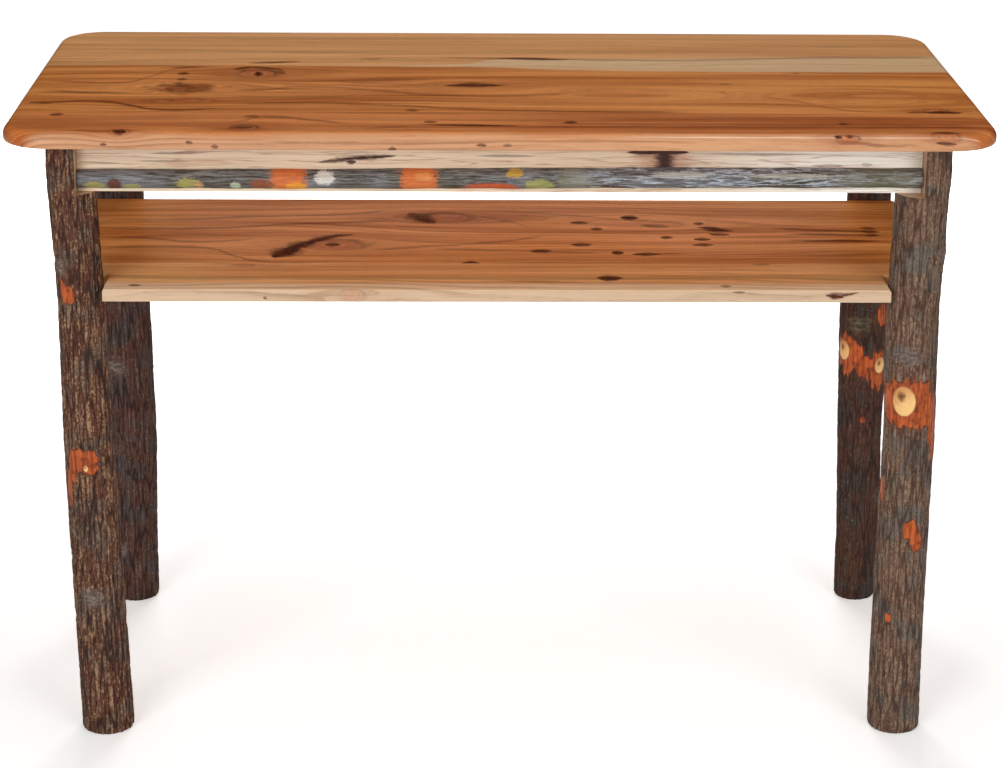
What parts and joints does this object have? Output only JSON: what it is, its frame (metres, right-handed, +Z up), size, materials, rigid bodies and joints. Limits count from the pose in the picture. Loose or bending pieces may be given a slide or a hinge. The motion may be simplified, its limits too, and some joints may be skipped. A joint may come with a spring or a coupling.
{
  "type": "rustic table",
  "caption": "Rustic hickory table: a rounded-over solid wood top on bark-on pole legs, with let-in aprons, split sapling trim and a lower shelf.",
  "frame": {"origin": "on the floor, under the middle of the top", "axes": "+X along the table's length to the viewer's right, +Y to its back, +Z up"},
  "size_m": [1.1176, 0.5588, 0.762],
  "materials": {
    "hickory_top": "satin lacquer over knotty heartwood",
    "hickory_shelf": "satin lacquer over knotty heartwood",
    "hickory_sapwood": "satin lacquer over cream sapwood",
    "plain_hickory": "sanded, unlacquered",
    "pole_bark": "furrowed bark left on, thin lacquer",
    "trim_bark": "thin sapling bark left on, lacquer",
    "screw_steel": "zinc plated"
  },
  "bodies": {
    "root": {"top_board_rear": "hickory_top", "top_board_middle": "hickory_top", "top_board_front": "hickory_top", "shelf_board_rear": "hickory_shelf", "shelf_board_front": "hickory_shelf", "apron_front": "hickory_sapwood", "apron_rear": "hickory_sapwood", "apron_left": "hickory_sapwood", "apron_right": "hickory_sapwood", "shelf_bearer_left": "plain_hickory", "shelf_bearer_right": "plain_hickory", "top_cleat_front": "plain_hickory", "top_cleat_rear": "plain_hickory", "top_cleat_left": "plain_hickory", "top_cleat_right": "plain_hickory", "leg_front_left": "pole_bark", "leg_front_right": "pole_bark", "leg_rear_left": "pole_bark", "leg_rear_right": "pole_bark", "bark_trim_front": "trim_bark", "bark_trim_rear": "trim_bark", "bark_trim_left": "trim_bark", "bark_trim_right": "trim_bark", "top_screws": "screw_steel", "cleat_screws": "screw_steel", "apron_screws": "screw_steel", "shelf_screws": "screw_steel", "trim_brads": "screw_steel"}
  },
  "joints": []
}
